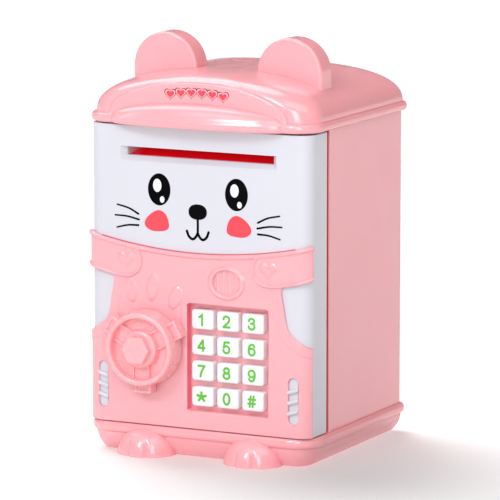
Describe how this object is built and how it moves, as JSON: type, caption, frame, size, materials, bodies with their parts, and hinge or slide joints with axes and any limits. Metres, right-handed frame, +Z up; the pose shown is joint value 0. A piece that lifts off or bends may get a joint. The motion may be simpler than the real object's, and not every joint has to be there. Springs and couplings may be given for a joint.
{
  "type": "toy safe coin bank",
  "caption": "Toy safe money box with an animal face: hinged keypad door, turning knob with latch bolt, banknote slot, vaulted roof with ears, paws on the base.",
  "frame": {"origin": "centre of the body's width and depth, on the flat underside of the base tray, where the bank stands", "axes": "+X to the right of someone facing the door, +Y to the back, +Z up"},
  "size_m": [0.1288, 0.1304, 0.212],
  "materials": {
    "pink_plastic": "glossy moulded pink ABS",
    "white_plastic": "glossy moulded white ABS",
    "key_plastic": "glossy white key caps with green printed digits",
    "red_plastic": "red moulded liner",
    "steel": "plated steel",
    "dark_plastic": "black plastic",
    "grey_rubber": "soft grey rubber",
    "circuit_board": "green solder mask",
    "battery_sleeve": "plain black sleeve, unmarked",
    "brass": "turned brass"
  },
  "bodies": {
    "body": {"base_tray": "pink_plastic", "housing_shell": "pink_plastic", "roof_cover": "pink_plastic", "base_screw_1": "steel", "base_screw_2": "steel", "base_screw_3": "steel", "base_screw_4": "steel", "hinge_pin_upper": "steel", "hinge_pin_lower": "steel"},
    "door": {"door_shell": "white_plastic", "front_panel": "pink_plastic", "door_back_cover": "white_plastic", "note_guide": "red_plastic", "note_feed_frame": "white_plastic", "note_motor": "steel", "keypad_mat": "grey_rubber", "circuit_board": "circuit_board", "speaker": "dark_plastic", "lock_solenoid": "dark_plastic", "battery_1": "battery_sleeve", "battery_2": "battery_sleeve", "battery_3": "battery_sleeve", "battery_contact_plus": "steel", "battery_contact_minus": "steel", "cover_screw_1": "steel", "cover_screw_2": "steel", "cover_screw_3": "steel", "cover_screw_4": "steel"},
    "knob": {"knob": "pink_plastic", "knob_shaft": "white_plastic"},
    "latch_bolt": {"latch_bolt": "steel"},
    "lock_plunger": {"lock_plunger": "steel"},
    "battery_cover": {"battery_cover": "white_plastic"},
    "drive_roller": {"drive_roller": "grey_rubber", "roller_gear": "white_plastic"},
    "idler_roller": {"idler_roller": "grey_rubber"},
    "motor_pinion": {"motor_pinion": "brass"},
    "key_1": {"key_1": "key_plastic"},
    "key_2": {"key_2": "key_plastic"},
    "key_3": {"key_3": "key_plastic"},
    "key_4": {"key_4": "key_plastic"},
    "key_5": {"key_5": "key_plastic"},
    "key_6": {"key_6": "key_plastic"},
    "key_7": {"key_7": "key_plastic"},
    "key_8": {"key_8": "key_plastic"},
    "key_9": {"key_9": "key_plastic"},
    "key_star": {"key_star": "key_plastic"},
    "key_0": {"key_0": "key_plastic"},
    "key_hash": {"key_hash": "key_plastic"}
  },
  "joints": [
    {"name": "door_hinge", "type": "hinge", "parent": "body", "child": "door", "pos_m": [0.059, -0.0362, 0.0917], "axis": [0, 0, 1], "range_deg": [0, 100]},
    {"name": "knob_turn", "type": "hinge", "parent": "door", "child": "knob", "pos_m": [-0.0275, -0.0545, 0.0558], "axis": [0, -1, 0], "range_deg": [0, 80]},
    {"name": "bolt_slide", "type": "slide", "parent": "door", "child": "latch_bolt", "axis": [-1, 0, 0], "range_m": [0, 0.0065]},
    {"name": "plunger_slide", "type": "slide", "parent": "door", "child": "lock_plunger", "axis": [0, 0, -1], "range_m": [0, 0.0031]},
    {"name": "battery_cover_slide", "type": "slide", "parent": "door", "child": "battery_cover", "axis": [0, 0, 1], "range_m": [0, 0.012]},
    {"name": "drive_roller_spin", "type": "hinge", "parent": "door", "child": "drive_roller", "pos_m": [0, -0.0238, 0.1495], "axis": [1, 0, 0], "continuous": true},
    {"name": "idler_roller_spin", "type": "hinge", "parent": "door", "child": "idler_roller", "pos_m": [0, -0.0238, 0.1597], "axis": [1, 0, 0], "continuous": true},
    {"name": "motor_pinion_spin", "type": "hinge", "parent": "door", "child": "motor_pinion", "pos_m": [0, -0.0238, 0.13725], "axis": [1, 0, 0], "continuous": true},
    {"name": "key_1_press", "type": "slide", "parent": "door", "child": "key_1", "axis": [0, 1, 0], "range_m": [0, 0.0012], "stiffness_N_per_m": 600},
    {"name": "key_2_press", "type": "slide", "parent": "door", "child": "key_2", "axis": [0, 1, 0], "range_m": [0, 0.0012], "stiffness_N_per_m": 600},
    {"name": "key_3_press", "type": "slide", "parent": "door", "child": "key_3", "axis": [0, 1, 0], "range_m": [0, 0.0012], "stiffness_N_per_m": 600},
    {"name": "key_4_press", "type": "slide", "parent": "door", "child": "key_4", "axis": [0, 1, 0], "range_m": [0, 0.0012], "stiffness_N_per_m": 600},
    {"name": "key_5_press", "type": "slide", "parent": "door", "child": "key_5", "axis": [0, 1, 0], "range_m": [0, 0.0012], "stiffness_N_per_m": 600},
    {"name": "key_6_press", "type": "slide", "parent": "door", "child": "key_6", "axis": [0, 1, 0], "range_m": [0, 0.0012], "stiffness_N_per_m": 600},
    {"name": "key_7_press", "type": "slide", "parent": "door", "child": "key_7", "axis": [0, 1, 0], "range_m": [0, 0.0012], "stiffness_N_per_m": 600},
    {"name": "key_8_press", "type": "slide", "parent": "door", "child": "key_8", "axis": [0, 1, 0], "range_m": [0, 0.0012], "stiffness_N_per_m": 600},
    {"name": "key_9_press", "type": "slide", "parent": "door", "child": "key_9", "axis": [0, 1, 0], "range_m": [0, 0.0012], "stiffness_N_per_m": 600},
    {"name": "key_star_press", "type": "slide", "parent": "door", "child": "key_star", "axis": [0, 1, 0], "range_m": [0, 0.0012], "stiffness_N_per_m": 600},
    {"name": "key_0_press", "type": "slide", "parent": "door", "child": "key_0", "axis": [0, 1, 0], "range_m": [0, 0.0012], "stiffness_N_per_m": 600},
    {"name": "key_hash_press", "type": "slide", "parent": "door", "child": "key_hash", "axis": [0, 1, 0], "range_m": [0, 0.0012], "stiffness_N_per_m": 600}
  ],
  "couplings": [
    {"joint": "bolt_slide", "follows": "knob_turn", "m_per_rad": 0.0046036},
    {"joint": "plunger_slide", "follows": "knob_turn", "m_per_rad": 0.0021486},
    {"joint": "idler_roller_spin", "follows": "drive_roller_spin", "ratio": -1},
    {"joint": "motor_pinion_spin", "follows": "drive_roller_spin", "ratio": -2.3333}
  ]
}
